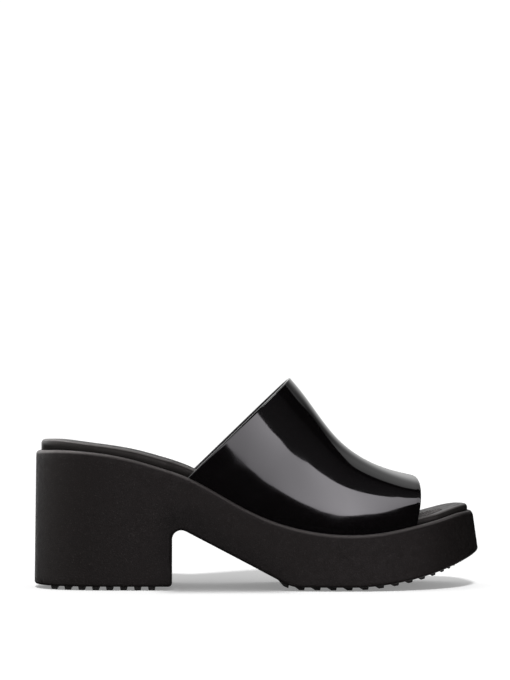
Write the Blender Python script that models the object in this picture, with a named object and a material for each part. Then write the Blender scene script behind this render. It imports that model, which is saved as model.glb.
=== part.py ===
"""A right slide sandal on a platform sole with a block heel.

The shoe stands on the plane z = 0 with its toe towards +X and its outer side towards -Y.
The origin lies under the middle of its length. All lengths are in metres.
"""

import math
from collections import namedtuple

import bmesh
import bpy
import numpy as np

# Sole in plan
SOLE_LENGTH = 0.250
BALL_WIDTH = 0.090

# Sole from the side
HEEL_HEIGHT = 0.0771
PLATFORM_HEIGHT = 0.0307
TOE_LIFT = 0.0122
TOE_SPRING = 0.0183
SPRING_LENGTH = 0.075
SPRING_POWER = 1.9
BALL_FLAT_LENGTH = 0.0325
HEEL_BLOCK_LENGTH = 0.0770
ARCH_SLOPE = math.radians(27.5)
ARCH_RADIUS = 0.005
BALL_BEND_RADIUS = 0.020
BREAST_CORNER_RADIUS = 0.0021
EDGE_RADIUS = 0.0015
RIM_RADIUS = 0.0022
HEEL_DRAFT = math.radians(0.5)
TOE_DRAFT = math.radians(8.0)

# Treads
LUG_HEIGHT = 0.0022
PAD_THICKNESS = 0.0014
HEEL_TREAD_INSET = 0.005
FOREFOOT_TREAD_INSET = 0.0115
TREAD_WRAP = 0.0102
HEEL_LUG_PITCH = 0.0077
HEEL_LUG_WIDTH = 0.0042
HEEL_LUG_SETBACK = 0.0090
FOREFOOT_LUG_PITCH = 0.0088
TOE_LUG_PITCH = 0.0060
LUG_DRAFT = 0.0004
PAD_END_TRIM = 0.0003
FOREFOOT_LUG_FILL = 0.72
FOREFOOT_RAMP = 0.5

# Upper
UPPER_WALL = 0.0022
UPPER_INSET = 0.0026
THROAT_FROM_HEEL = 0.0856
THROAT_RISE = 0.0555
THROAT_REACH = 0.0574
TOE_OPENING = 0.0363
FRONT_HEIGHT = 0.0260
FRONT_LEAN = 0.0021
FRONT_BULGE = 0.0012
INSTEP_SHIFT = 0.003

# Insole
SEAT_DEPTH = 0.0020
INSOLE_INSET = 0.0029
INSOLE_EDGE_RADIUS = 0.0022
HEEL_CUP_DEPTH = 0.0040
BALL_DISH_DEPTH = 0.0018
TUCK_NEAR = 0.004
TUCK_FAR = 0.014
SPINE_TRIM = 0.30
DISH_SHARES = (0.80, 0.55, 0.25)

# Clearance between neighbouring pieces
GAP = 0.0003
SIDE_SLACK = 0.0009

# How finely the curved pieces are divided
HEEL_STEPS = 13
CORNER_STEPS = 3
CROWN_STEPS = 5
SLOPE_STEPS = 7
BEND_STEPS = 3
BALL_STEPS = 4
TOE_STEPS = 16
WALL_STEPS = 3
PAD_STEPS = 12
UPPER_ROWS = 27
UPPER_COLUMNS = 32
INSOLE_STEPS = 24
SHARP_ANGLE = math.radians(40)

# How closely curves are followed and cuts are found
NUDGE = 1e-5
EDGE_ROUNDS = 8
CUT_ROUNDS = 40
CUT_MARGIN = 0.012
TRAVEL_SAMPLES = 200

HALF_LENGTH = SOLE_LENGTH / 2
BREAST_X = HEEL_BLOCK_LENGTH - HALF_LENGTH
SPRING_X = HALF_LENGTH - SPRING_LENGTH
BALL_X = SPRING_X - BALL_FLAT_LENGTH
BEND_REACH = BALL_BEND_RADIUS * math.tan(ARCH_SLOPE / 2)
THROAT_X = THROAT_FROM_HEEL - HALF_LENGTH
APEX_X = THROAT_X + THROAT_REACH
FRONT_X = HALF_LENGTH - TOE_OPENING

# Half widths of the sole, as shares of the ball width, at shares of the length from the heel
Width = namedtuple("Width", "along outer inner")
WIDTHS = (
    Width(0.00, 0.000, 0.000),
    Width(0.02, 0.189, 0.189),
    Width(0.05, 0.272, 0.272),
    Width(0.10, 0.333, 0.333),
    Width(0.16, 0.363, 0.361),
    Width(0.25, 0.376, 0.366),
    Width(0.35, 0.388, 0.352),
    Width(0.45, 0.415, 0.352),
    Width(0.55, 0.456, 0.386),
    Width(0.65, 0.490, 0.438),
    Width(0.73, 0.500, 0.478),
    Width(0.81, 0.479, 0.500),
    Width(0.88, 0.428, 0.472),
    Width(0.94, 0.322, 0.400),
    Width(0.98, 0.178, 0.278),
    Width(1.00, -0.056, 0.056),
)

# Height of the rim: share of the heel's rise over the platform, and share of the toe's lift
Rim = namedtuple("Rim", "along heel_rise toe_lift")
RIM = (
    Rim(0.00, 0.990, 0.000),
    Rim(0.05, 1.000, 0.000),
    Rim(0.10, 0.989, 0.000),
    Rim(0.16, 0.953, 0.000),
    Rim(0.22, 0.888, 0.000),
    Rim(0.28, 0.793, 0.000),
    Rim(0.34, 0.679, 0.000),
    Rim(0.43, 0.418, 0.000),
    Rim(0.50, 0.222, 0.000),
    Rim(0.57, 0.091, 0.000),
    Rim(0.64, 0.019, 0.000),
    Rim(0.71, 0.000, 0.000),
    Rim(0.78, 0.000, 0.130),
    Rim(0.84, 0.000, 0.385),
    Rim(0.90, 0.000, 0.690),
    Rim(0.95, 0.000, 0.950),
    Rim(1.00, 0.000, 0.975),
)

# Crest of the upper from its highest point to its front edge, as shares of that run and that fall
Crest = namedtuple("Crest", "along height")
CREST = (
    Crest(0.00, 1.000),
    Crest(0.10, 0.848),
    Crest(0.22, 0.637),
    Crest(0.35, 0.420),
    Crest(0.48, 0.264),
    Crest(0.61, 0.160),
    Crest(0.75, 0.084),
    Crest(0.88, 0.034),
    Crest(1.00, 0.000),
)

# Fullness of the upper's sides and top at shares of the way from throat to front
Section = namedtuple("Section", "along side top")
SECTIONS = (
    Section(0.03, 0.236, 0.198),
    Section(0.27, 0.187, 0.173),
    Section(0.50, 0.231, 0.216),
    Section(0.74, 0.341, 0.490),
    Section(1.00, 0.689, 0.213),
)

# Height of the insole's edge over the rim at shares of the length from the heel
Rise = namedtuple("Rise", "along rise")
RISES = (
    Rise(0.00, 0.0060),
    Rise(0.05, 0.0056),
    Rise(0.10, 0.0048),
    Rise(0.14, 0.0045),
    Rise(0.18, 0.0046),
    Rise(0.24, 0.0051),
    Rise(0.30, 0.0055),
    Rise(0.35, 0.0058),
    Rise(0.50, 0.0052),
    Rise(0.70, 0.0043),
    Rise(0.85, 0.0036),
    Rise(1.00, 0.0038),
)

Finish = namedtuple("Finish", "colour roughness metallic")
FOAM = Finish((0.018, 0.017, 0.018), 0.75, 0.0)
RUBBER = Finish((0.014, 0.014, 0.014), 0.60, 0.0)
FOOTBED = Finish((0.024, 0.022, 0.022), 0.55, 0.0)
PATENT = Finish((0.005, 0.004, 0.005), 0.08, 0.0)


def smooth_curve(places, values):
    """Natural cubic through the given places, straight beyond its two ends."""
    places = np.array(places, float)
    values = np.array(values, float)
    steps = np.diff(places)
    slopes = np.diff(values) / steps
    count = len(places)
    system = np.eye(count)
    right = np.zeros(count)
    for i in range(1, count - 1):
        system[i, i - 1 : i + 2] = steps[i - 1], 2 * (steps[i - 1] + steps[i]), steps[i]
        right[i] = 6 * (slopes[i] - slopes[i - 1])
    bends = np.linalg.solve(system, right)

    def value(at):
        at = np.asarray(at, float)
        inside = np.clip(at, places[0], places[-1])
        k = np.clip(np.searchsorted(places, inside) - 1, 0, count - 2)
        step = steps[k]
        a = (places[k + 1] - inside) / step
        b = (inside - places[k]) / step
        bow = ((a**3 - a) * bends[k] + (b**3 - b) * bends[k + 1]) * step**2 / 6
        first = slopes[0] - steps[0] * bends[1] / 6
        last = slopes[-1] + steps[-1] * bends[-2] / 6
        beyond = np.minimum(at - places[0], 0) * first + np.maximum(at - places[-1], 0) * last
        return a * values[k] + b * values[k + 1] + bow + beyond

    return value


def ease(at, low, high):
    """0 below low, 1 above high, and a smooth step between."""
    share = np.clip((at - low) / (high - low), 0.0, 1.0)
    return share * share * (3 - 2 * share)


def turn_of(x):
    """Place on the outline, 0 at the heel and 1 at the toe, of a length coordinate."""
    share = np.clip((np.asarray(x, float) + HALF_LENGTH) / SOLE_LENGTH, 0.0, 1.0)
    return np.arccos(1 - 2 * share) / math.pi


TURNS = [float(turn_of(row.along * SOLE_LENGTH - HALF_LENGTH)) for row in WIDTHS]
OUTER_WIDTH = smooth_curve(TURNS, [row.outer * BALL_WIDTH for row in WIDTHS])
INNER_WIDTH = smooth_curve(TURNS, [row.inner * BALL_WIDTH for row in WIDTHS])
RIM_PLACES = [row.along for row in RIM]
RIM_RISE = smooth_curve(RIM_PLACES, [row.heel_rise for row in RIM])
RIM_LIFT = smooth_curve(RIM_PLACES, [row.toe_lift for row in RIM])
CREST_SHARE = smooth_curve([row.along for row in CREST], [row.height for row in CREST])
EDGE_RISE = smooth_curve([row.along for row in RISES], [row.rise for row in RISES])
SECTION_PLACES = [row.along for row in SECTIONS]
SIDE_FULLNESS = smooth_curve(SECTION_PLACES, [row.side for row in SECTIONS])
TOP_FULLNESS = smooth_curve(SECTION_PLACES, [row.top for row in SECTIONS])


def rim_height(x):
    """Height of the sole's upper edge."""
    share = (np.asarray(x, float) + HALF_LENGTH) / SOLE_LENGTH
    rise = RIM_RISE(share) * (HEEL_HEIGHT - PLATFORM_HEIGHT)
    return PLATFORM_HEIGHT + rise + RIM_LIFT(share) * TOE_LIFT


def base_height(x):
    """Height of the base outline: level to the ball, then turned up with the toe."""
    share = np.clip((np.asarray(x, float) - SPRING_X) / SPRING_LENGTH, 0.0, None)
    return LUG_HEIGHT + TOE_SPRING * share**SPRING_POWER


def draft_slope(x):
    """How far the side wall leans in for each metre that it rises."""
    share = (np.asarray(x, float) + HALF_LENGTH) / SOLE_LENGTH
    return np.tan(HEEL_DRAFT + (TOE_DRAFT - HEEL_DRAFT) * share**2)


def length_at(turn):
    """Length coordinate of a place on the outline."""
    return -HALF_LENGTH * np.cos(math.pi * np.asarray(turn, float))


def edge_line(turn, side, inset):
    """Points of the outline on one side, -1 outer or 1 inner, moved inwards by an inset."""
    turn = np.asarray(turn, float)

    def line(at):
        return length_at(at), -OUTER_WIDTH(at) if side < 0 else INNER_WIDTH(at)

    x, y = line(turn)
    x_on, y_on = line(turn + NUDGE)
    x_back, y_back = line(turn - NUDGE)
    dx, dy = x_on - x_back, y_on - y_back
    size = np.hypot(dx, dy)
    return x + inset * side * dy / size, y - inset * side * dx / size


def wall_lean(x, z):
    """How far the leaning side wall lies inside the base outline at a height."""
    return (z - base_height(x)) * draft_slope(x)


def rim_inset(turn):
    """How far the rim lies inside the sole's base outline."""
    x = length_at(turn)
    return wall_lean(x, rim_height(x))


def ring(turns, inset):
    """Both sides of an outline as one closed loop of x and y: heel, outer side, toe, inner side."""
    outer_x, outer_y = edge_line(turns, -1, inset)
    inner_x, inner_y = edge_line(turns, 1, inset)
    x = np.concatenate([outer_x, inner_x[-2:0:-1]])
    y = np.concatenate([outer_y, inner_y[-2:0:-1]])
    return x, y


def both_sides(values):
    """A value for each station, repeated for the loop that ring() gives."""
    return np.concatenate([values, values[-2:0:-1]])


def level_loop(turns, inset, heights):
    """Closed loop of 3D points from an inset and a height for each station."""
    x, y = ring(turns, inset)
    return np.column_stack([x, y, both_sides(heights)])


def rim_loop(turns, inset, rise):
    """Closed loop a given inset inside the rim and a given rise above it."""
    x, y = ring(turns, rim_inset(turns) + inset)
    return np.column_stack([x, y, rim_height(x) + rise])


def steady(inset):
    """Inset rule that gives one inset at every place on the outline."""

    def inset_at(turn):
        return np.full(np.shape(turn), inset)

    return inset_at


def side_y(x, side, inset_at):
    """Sideways place of an inset outline at length coordinates, from a rule for its inset."""
    turn = turn_of(x)
    for _ in range(EDGE_ROUNDS):
        line_x = edge_line(turn, side, inset_at(turn))[0]
        turn = turn_of(x - (line_x - length_at(turn)))
    return edge_line(turn, side, inset_at(turn))[1]


def arc(centre_x, centre_z, radius, start, stop, steps):
    """Points along a circular arc in the side view."""
    angles = np.linspace(start, stop, steps + 1)
    return [(centre_x + radius * math.cos(a), centre_z + radius * math.sin(a)) for a in angles]


def underside_height(x):
    """Height of the underside from the slope behind the ball to the toe."""
    x = np.asarray(x, float)
    bend_width = BALL_BEND_RADIUS * math.sin(ARCH_SLOPE)
    back = np.clip(BALL_X + BEND_REACH - x, 0.0, bend_width)
    bend = BALL_BEND_RADIUS - np.sqrt(BALL_BEND_RADIUS**2 - back**2)
    slope = math.tan(ARCH_SLOPE) * np.clip(BALL_X + BEND_REACH - bend_width - x, 0.0, None)
    return base_height(x) + bend + slope


def underside():
    """Side view of the underside: points from heel to toe, and the direction into the foam at each."""
    base = LUG_HEIGHT
    corner_x = BREAST_X - BREAST_CORNER_RADIUS
    heel_x = length_at(np.linspace(0, turn_of(corner_x), HEEL_STEPS))
    heel = [(x, base) for x in heel_x[:-1]]
    corner_z = base + BREAST_CORNER_RADIUS
    corner = arc(corner_x, corner_z, BREAST_CORNER_RADIUS, -math.pi / 2, 0, CORNER_STEPS)
    centre_x = BREAST_X + ARCH_RADIUS
    centre_z = base + math.tan(ARCH_SLOPE) * (BALL_X - centre_x) - ARCH_RADIUS / math.cos(ARCH_SLOPE)
    crown = arc(centre_x, centre_z, ARCH_RADIUS, math.pi, math.pi / 2 - ARCH_SLOPE, CROWN_STEPS)
    bend_x, bend_z = BALL_X + BEND_REACH, base + BALL_BEND_RADIUS
    bend_start = -math.pi / 2 - ARCH_SLOPE
    bend = arc(bend_x, bend_z, BALL_BEND_RADIUS, bend_start, -math.pi / 2, BEND_STEPS)
    shares = np.linspace(0, 1, SLOPE_STEPS + 1)[1:-1, None]
    straight = list(np.array(crown[-1]) * (1 - shares) + np.array(bend[0]) * shares)
    arch = corner + crown + straight + bend
    toe_x = length_at(np.linspace(turn_of(SPRING_X), 1, TOE_STEPS))
    front_x = np.concatenate([np.linspace(bend_x, SPRING_X, BALL_STEPS)[1:-1], toe_x])
    front = list(zip(front_x, underside_height(front_x)))
    points = np.array(heel + arch + front)
    tangents = np.gradient(points, axis=0)
    tangents /= np.linalg.norm(tangents, axis=1)[:, None]
    inwards = np.column_stack([-tangents[:, 1], tangents[:, 0]])
    inwards[: len(heel)] = 0.0, 1.0
    inwards[len(heel) + len(arch) :] = 0.0, 1.0
    return points, inwards


def solid_from_loops(name, loops, finish):
    """Closed mesh through loops of one count, with rows across its first and last loop."""
    mesh = bmesh.new()
    rows = [[mesh.verts.new(point) for point in loop] for loop in loops]
    count = len(rows[0])
    for below, above in zip(rows, rows[1:]):
        for i in range(count):
            j = (i + 1) % count
            mesh.faces.new((below[i], below[j], above[j], above[i]))
    for row in (rows[0], rows[-1]):
        for i in range(count // 2):
            across = (row[i], row[i + 1], row[count - i - 1], row[-i % count])
            mesh.faces.new(list(dict.fromkeys(across)))
    return add_object(name, mesh, finish)


def add_object(name, mesh, finish):
    """Scene object from a closed bmesh, with its material and soft shading."""
    bmesh.ops.triangulate(mesh, faces=mesh.faces[:])
    bmesh.ops.recalc_face_normals(mesh, faces=mesh.faces[:])
    data = bpy.data.meshes.new(name)
    mesh.to_mesh(data)
    mesh.free()
    data.shade_smooth()
    data.set_sharp_from_angle(angle=SHARP_ANGLE)
    if finish:
        data.materials.append(make_material(name, finish))
    thing = bpy.data.objects.new(name, data)
    bpy.context.collection.objects.link(thing)
    return thing


def make_material(name, finish):
    """Plain material of one finish."""
    material = bpy.data.materials.new(name)
    material.use_nodes = True
    shader = material.node_tree.nodes["Principled BSDF"]
    shader.inputs["Base Color"].default_value = (*finish.colour, 1.0)
    shader.inputs["Roughness"].default_value = finish.roughness
    shader.inputs["Metallic"].default_value = finish.metallic
    return material


def make_sole():
    """Foam sole: underside, rounded edge, leaning wall, rounded rim and the seat inside it."""
    points, inwards = underside()
    travel = np.concatenate([[0.0], np.cumsum(np.linalg.norm(np.diff(points, axis=0), axis=1))])
    even = turn_of(travel / travel[-1] * SOLE_LENGTH - HALF_LENGTH)
    top_turns = (turn_of(points[:, 0]) + even) / 2
    halfway = 1 - math.cos(math.pi / 4)
    low_bend, rim_bend = EDGE_RADIUS * halfway, RIM_RADIUS * halfway
    loops = []
    for lift, inset in ((0.0, EDGE_RADIUS), (low_bend, low_bend), (EDGE_RADIUS, 0.0)):
        low_x, low_z = (points + lift * inwards).T
        low_turns = turn_of(low_x)
        loops.append(level_loop(low_turns, inset + wall_lean(low_x, low_z), low_z))
    top_z = rim_height(length_at(top_turns)) - RIM_RADIUS
    for share in np.linspace(0, 1, WALL_STEPS + 1)[1:]:
        turns = low_turns * (1 - share) + top_turns * share
        z = low_z * (1 - share) + top_z * share
        loops.append(level_loop(turns, wall_lean(length_at(turns), z), z))
    seat_inset = UPPER_INSET - GAP
    for inset, rise in (
        (rim_bend, -rim_bend),
        (RIM_RADIUS, 0.0),
        (seat_inset, 0.0),
        (seat_inset, -SEAT_DEPTH),
    ):
        loops.append(rim_loop(top_turns, inset, rise))
    return solid_from_loops("sole", loops, FOAM)


def tread_solid(name, sections, inset, finish):
    """Closed mesh through upright sections: a length coordinate with its top and its bottom."""
    mesh = bmesh.new()
    rows = []
    for x, top, bottom in sections:
        outer = side_y(x, -1, steady(inset))
        inner = side_y(x, 1, steady(inset))
        corners = ((x, outer, bottom), (x, inner, bottom), (x, inner, top), (x, outer, top))
        rows.append([mesh.verts.new(corner) for corner in corners])
    for here, there in zip(rows, rows[1:]):
        for i in range(4):
            j = (i + 1) % 4
            mesh.faces.new((here[i], here[j], there[j], there[i]))
    mesh.faces.new(rows[0])
    mesh.faces.new(rows[-1])
    return add_object(name, mesh, finish)


def lug_sections(back, front, lugs, ramp, height_at):
    """Sections of a tread pad whose lugs each have a ramp, a flat foot and a steep end."""
    sections = []
    places = list(length_at(np.linspace(turn_of(back), turn_of(front), PAD_STEPS + 1)))
    for start, stop in lugs:
        places = [x for x in places if x < start - LUG_DRAFT or x > stop + LUG_DRAFT]
    outline = [(x, 0.0) for x in places]
    for start, stop in lugs:
        foot = start + ramp * (stop - start)
        outline += [(start, 0.0), (foot, LUG_HEIGHT), (stop - LUG_DRAFT, LUG_HEIGHT), (stop, 0.0)]
    for x, drop in sorted(outline):
        z = float(height_at(x))
        sections.append((x, z + PAD_THICKNESS, z - drop))
    return sections


def make_tread(name, back, front, inset, lugs, ramp, height_at, sole):
    """Rubber pad with lugs, and its shallow recess cut in the sole."""
    sections = lug_sections(back, front, lugs, ramp, height_at)
    tread_solid(name, sections, inset, RUBBER)
    pocket = [(x, top + GAP, top - PAD_THICKNESS - LUG_HEIGHT) for x, top, _ in sections]
    pocket[0] = (pocket[0][0] - GAP, *pocket[0][1:])
    pocket[-1] = (pocket[-1][0] + GAP, *pocket[-1][1:])
    cutter = tread_solid(name + "_pocket", pocket, inset - GAP, None)
    cutter.display_type = "WIRE"
    cutter.hide_render = True
    cut = sole.modifiers.new(name + "_pocket", "BOOLEAN")
    cut.operation = "DIFFERENCE"
    cut.solver = "EXACT"
    cut.object = cutter


def heel_base(_):
    """Height of the level underside of the heel."""
    return LUG_HEIGHT


def make_heel_tread(sole):
    """Pad under the block heel, with lugs set back from the breast."""
    back = HEEL_TREAD_INSET - HALF_LENGTH + PAD_END_TRIM
    front = BREAST_X - HEEL_TREAD_INSET
    stop = BREAST_X - HEEL_LUG_SETBACK
    lugs = []
    while stop - HEEL_LUG_WIDTH > back + LUG_DRAFT:
        lugs.append((stop - HEEL_LUG_WIDTH, stop))
        stop -= HEEL_LUG_PITCH
    ramp = LUG_DRAFT / HEEL_LUG_WIDTH
    make_tread("heel_tread", back, front, HEEL_TREAD_INSET, lugs, ramp, heel_base, sole)


def make_forefoot_tread(sole):
    """Pad under ball and toe, whose lugs keep one pitch along its outer edge."""
    inset = FOREFOOT_TREAD_INSET
    back = BALL_X - TREAD_WRAP
    front = HALF_LENGTH - inset - PAD_END_TRIM
    x = np.linspace(back, front, TRAVEL_SAMPLES)
    steps = np.hypot(np.diff(x), np.diff(side_y(x, -1, steady(inset))))
    travel = np.concatenate([[0.0], np.cumsum(steps)])
    stops, reach = [], LUG_DRAFT
    while reach < travel[-1]:
        stops.append(float(np.interp(reach, travel, x)))
        shrink = ease(stops[-1], SPRING_X, HALF_LENGTH)
        reach += FOREFOOT_LUG_PITCH + (TOE_LUG_PITCH - FOREFOOT_LUG_PITCH) * shrink
    lugs = []
    for start, stop in zip(stops, stops[1:]):
        lugs.append((start + (1 - FOREFOOT_LUG_FILL) * (stop - start), stop))
    make_tread("forefoot_tread", back, front, inset, lugs, FOREFOOT_RAMP, underside_height, sole)


def insole_inset(x):
    """Inset of the insole from the rim, wider where the upper stands beside it."""
    beside = UPPER_INSET + UPPER_WALL + SIDE_SLACK
    from_throat = ease(x, THROAT_X - TUCK_FAR, THROAT_X - TUCK_NEAR)
    to_front = ease(x, FRONT_X + TUCK_NEAR, FRONT_X + TUCK_FAR)
    return INSOLE_INSET + (beside - INSOLE_INSET) * from_throat * (1 - to_front)


def insole_rise(x):
    """Height of the insole's edge above the rim."""
    return EDGE_RISE((np.asarray(x, float) + HALF_LENGTH) / SOLE_LENGTH)


def make_insole():
    """Foam footbed with a rounded raised edge and a dished top."""
    turns = np.linspace(0.0, 1.0, 2 * INSOLE_STEPS + 1)
    x = length_at(turns)
    inset = insole_inset(x)
    crest = insole_rise(x)
    bend = INSOLE_EDGE_RADIUS * (1 - math.cos(math.pi / 4))
    loops = [rim_loop(turns, inset, GAP - SEAT_DEPTH)]
    for extra, drop in ((0.0, INSOLE_EDGE_RADIUS), (bend, bend), (INSOLE_EDGE_RADIUS, 0.0)):
        loops.append(rim_loop(turns, inset + extra, both_sides(crest - drop)))
    crown = loops[-1]
    mirror = np.roll(crown[::-1], 1, axis=0)
    spine_x = crown[:, 0] * (1 - SPINE_TRIM)
    spine_y = (crown[:, 1] + mirror[:, 1]) / 2
    behind = 1 - ease(crown[:, 0], THROAT_X, APEX_X)
    depth = BALL_DISH_DEPTH + (HEEL_CUP_DEPTH - BALL_DISH_DEPTH) * behind
    for share in DISH_SHARES:
        flat_x = spine_x + (crown[:, 0] - spine_x) * share
        flat_y = spine_y + (crown[:, 1] - spine_y) * share
        z = rim_height(flat_x) + insole_rise(flat_x) - depth * (1 - share**2)
        loops.append(np.column_stack([flat_x, flat_y, z]))
    return solid_from_loops("insole", loops, FOOTBED)


def crest_height(x):
    """Height of the upper's crest line, carried on straight behind its highest point."""
    share = (np.asarray(x, float) - APEX_X) / (FRONT_X - APEX_X)
    apex_z = rim_height(THROAT_X) + THROAT_RISE
    front_z = rim_height(FRONT_X) + FRONT_HEIGHT
    return front_z + (apex_z - front_z) * CREST_SHARE(share)


def upper_inset(turn):
    """Inset of the upper's base from the sole's base outline."""
    return rim_inset(turn) + UPPER_INSET


def upper_skin(x, angle):
    """Point on the upper's outside from its length coordinate and the angle about it."""
    outer, inner = side_y(x, -1, upper_inset), side_y(x, 1, upper_inset)
    base = rim_height(x) - SEAT_DEPTH + GAP
    cos, sin = np.cos(angle), np.sin(angle)
    share = (x - THROAT_X) / (FRONT_X - THROAT_X)
    y = (outer + inner) / 2 - (inner - outer) / 2 * cos * (1 + SIDE_FULLNESS(share) * sin**2)
    z = base + (crest_height(x) - base) * sin * (1 + TOP_FULLNESS(share) * cos**2)
    return np.stack([x, y + INSTEP_SHIFT * sin**2, z], axis=-1)


def upper_layer(x, angle, depth):
    """Point a given depth under the upper's outside."""
    along = upper_skin(x + NUDGE, angle) - upper_skin(x - NUDGE, angle)
    across = upper_skin(x, angle + NUDGE) - upper_skin(x, angle - NUDGE)
    normal = np.cross(along, across)
    normal /= np.linalg.norm(normal, axis=-1, keepdims=True)
    return upper_skin(x, angle) - depth * normal


def cut_line(share, z):
    """Length coordinate of a section: the throat's slanting cut at 0, the front edge at 1."""
    rise = (z - rim_height(THROAT_X)) / THROAT_RISE
    throat = THROAT_X + rise * THROAT_REACH
    level = (z - rim_height(FRONT_X)) / FRONT_HEIGHT
    front = FRONT_X - FRONT_LEAN * (1 - level) + FRONT_BULGE * 4 * level * (1 - level)
    return throat * (1 - share) + front * share


def upper_grid(depth):
    """Rows of points from the throat to the front edge, each from the outer to the inner base."""
    shares = np.linspace(0, 1, UPPER_ROWS + 1)
    angles = np.linspace(0, math.pi, UPPER_COLUMNS + 1)
    share, angle = np.meshgrid(shares, angles, indexing="ij")
    low = np.full(share.shape, THROAT_X - CUT_MARGIN)
    high = np.full(share.shape, FRONT_X + CUT_MARGIN)
    for _ in range(CUT_ROUNDS):
        middle = (low + high) / 2
        point = upper_layer(middle, angle, depth)
        ahead = point[..., 0] > cut_line(share, point[..., 2])
        high = np.where(ahead, middle, high)
        low = np.where(ahead, low, middle)
    return upper_layer((low + high) / 2, angle, depth)


def make_upper():
    """Hollow band over the foot, open at throat and front and underneath."""
    mesh = bmesh.new()
    outside, inside = [
        [[mesh.verts.new(point) for point in row] for row in upper_grid(depth)]
        for depth in (0.0, UPPER_WALL)
    ]
    for skin in (outside, inside):
        for here, there in zip(skin, skin[1:]):
            for j in range(UPPER_COLUMNS):
                mesh.faces.new((here[j], there[j], there[j + 1], here[j + 1]))
    for i in (0, -1):
        for j in range(UPPER_COLUMNS):
            mesh.faces.new((outside[i][j], outside[i][j + 1], inside[i][j + 1], inside[i][j]))
    for j in (0, -1):
        for i in range(UPPER_ROWS):
            mesh.faces.new((outside[i][j], outside[i + 1][j], inside[i + 1][j], inside[i][j]))
    return add_object("upper", mesh, PATENT)


def main():
    """Clears the scene and builds the shoe."""
    for thing in list(bpy.data.objects):
        bpy.data.objects.remove(thing)
    sole = make_sole()
    make_heel_tread(sole)
    make_forefoot_tread(sole)
    make_insole()
    make_upper()


main()
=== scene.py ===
"""Studio picture of a right slide sandal: glossy open-toed band, footbed and platform sole with a block heel.

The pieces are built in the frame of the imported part: +X to the toe, -Y to the outer side, +Z up, in metres.
"""

from __future__ import annotations

import logging
import math
from dataclasses import dataclass
from enum import Enum
from typing import Callable, NamedTuple, Sequence

import bpy
import numpy as np
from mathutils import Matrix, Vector
from mathutils.bvhtree import BVHTree


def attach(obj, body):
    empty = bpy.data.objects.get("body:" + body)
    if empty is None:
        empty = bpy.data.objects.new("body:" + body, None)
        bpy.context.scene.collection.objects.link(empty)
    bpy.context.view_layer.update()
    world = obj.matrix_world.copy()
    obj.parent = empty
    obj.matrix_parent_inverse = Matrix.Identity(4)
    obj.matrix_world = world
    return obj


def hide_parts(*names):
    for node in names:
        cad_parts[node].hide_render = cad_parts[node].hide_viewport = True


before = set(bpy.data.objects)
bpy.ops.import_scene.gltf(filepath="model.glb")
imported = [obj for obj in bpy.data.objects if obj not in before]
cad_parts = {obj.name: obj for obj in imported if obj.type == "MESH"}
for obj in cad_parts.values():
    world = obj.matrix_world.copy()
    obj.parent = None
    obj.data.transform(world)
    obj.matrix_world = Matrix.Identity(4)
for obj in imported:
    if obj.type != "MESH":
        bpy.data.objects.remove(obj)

logging.basicConfig(level=logging.INFO, format="%(levelname)s %(name)s: %(message)s")
log = logging.getLogger("sandal")

Array = np.ndarray
InsetRule = Callable[[Array], Array]
Material = bpy.types.Material
Object = bpy.types.Object
Socket = bpy.types.NodeSocket

# Band that holds most of a noise texture's values
NOISE_BAND = (0.3, 0.7)


class Side(Enum):
    """Side of the foot, with the sign of its y."""

    OUTER = -1
    INNER = 1


class Width(NamedTuple):
    """Half widths as shares of the ball width, at a share of the length from the heel."""

    along: float
    outer: float
    inner: float


class Rim(NamedTuple):
    """Height of the rim: share of the heel's rise over the platform and of the toe's lift."""

    along: float
    heel_rise: float
    toe_lift: float


class Crest(NamedTuple):
    """Crest of the upper, as shares of its run to the front edge and of its fall."""

    along: float
    height: float


class Section(NamedTuple):
    """Fullness of the upper's sides and top, at a share of the way from throat to front."""

    along: float
    side: float
    top: float


class Rise(NamedTuple):
    """Height of the insole's edge over the rim, at a share of the length from the heel."""

    along: float
    rise: float


class NubRing(NamedTuple):
    """Ring of a nub, as shares of the nub's radius and height."""

    wide: float
    high: float


WIDTHS: tuple[Width, ...] = (
    Width(0.00, 0.000, 0.000),
    Width(0.02, 0.189, 0.189),
    Width(0.05, 0.272, 0.272),
    Width(0.10, 0.333, 0.333),
    Width(0.16, 0.363, 0.361),
    Width(0.25, 0.376, 0.366),
    Width(0.35, 0.388, 0.352),
    Width(0.45, 0.415, 0.352),
    Width(0.55, 0.456, 0.386),
    Width(0.65, 0.490, 0.438),
    Width(0.73, 0.500, 0.478),
    Width(0.81, 0.479, 0.500),
    Width(0.88, 0.428, 0.472),
    Width(0.94, 0.322, 0.400),
    Width(0.98, 0.178, 0.278),
    Width(1.00, -0.056, 0.056),
)

RIM: tuple[Rim, ...] = (
    Rim(0.00, 0.990, 0.000),
    Rim(0.05, 1.000, 0.000),
    Rim(0.10, 0.989, 0.000),
    Rim(0.16, 0.953, 0.000),
    Rim(0.22, 0.888, 0.000),
    Rim(0.28, 0.793, 0.000),
    Rim(0.34, 0.679, 0.000),
    Rim(0.43, 0.418, 0.000),
    Rim(0.50, 0.222, 0.000),
    Rim(0.57, 0.091, 0.000),
    Rim(0.64, 0.019, 0.000),
    Rim(0.71, 0.000, 0.000),
    Rim(0.78, 0.000, 0.130),
    Rim(0.84, 0.000, 0.385),
    Rim(0.90, 0.000, 0.690),
    Rim(0.95, 0.000, 0.950),
    Rim(1.00, 0.000, 0.975),
)

CREST: tuple[Crest, ...] = (
    Crest(0.00, 1.000),
    Crest(0.10, 0.848),
    Crest(0.22, 0.637),
    Crest(0.35, 0.420),
    Crest(0.48, 0.264),
    Crest(0.61, 0.160),
    Crest(0.75, 0.084),
    Crest(0.88, 0.034),
    Crest(1.00, 0.000),
)

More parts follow.
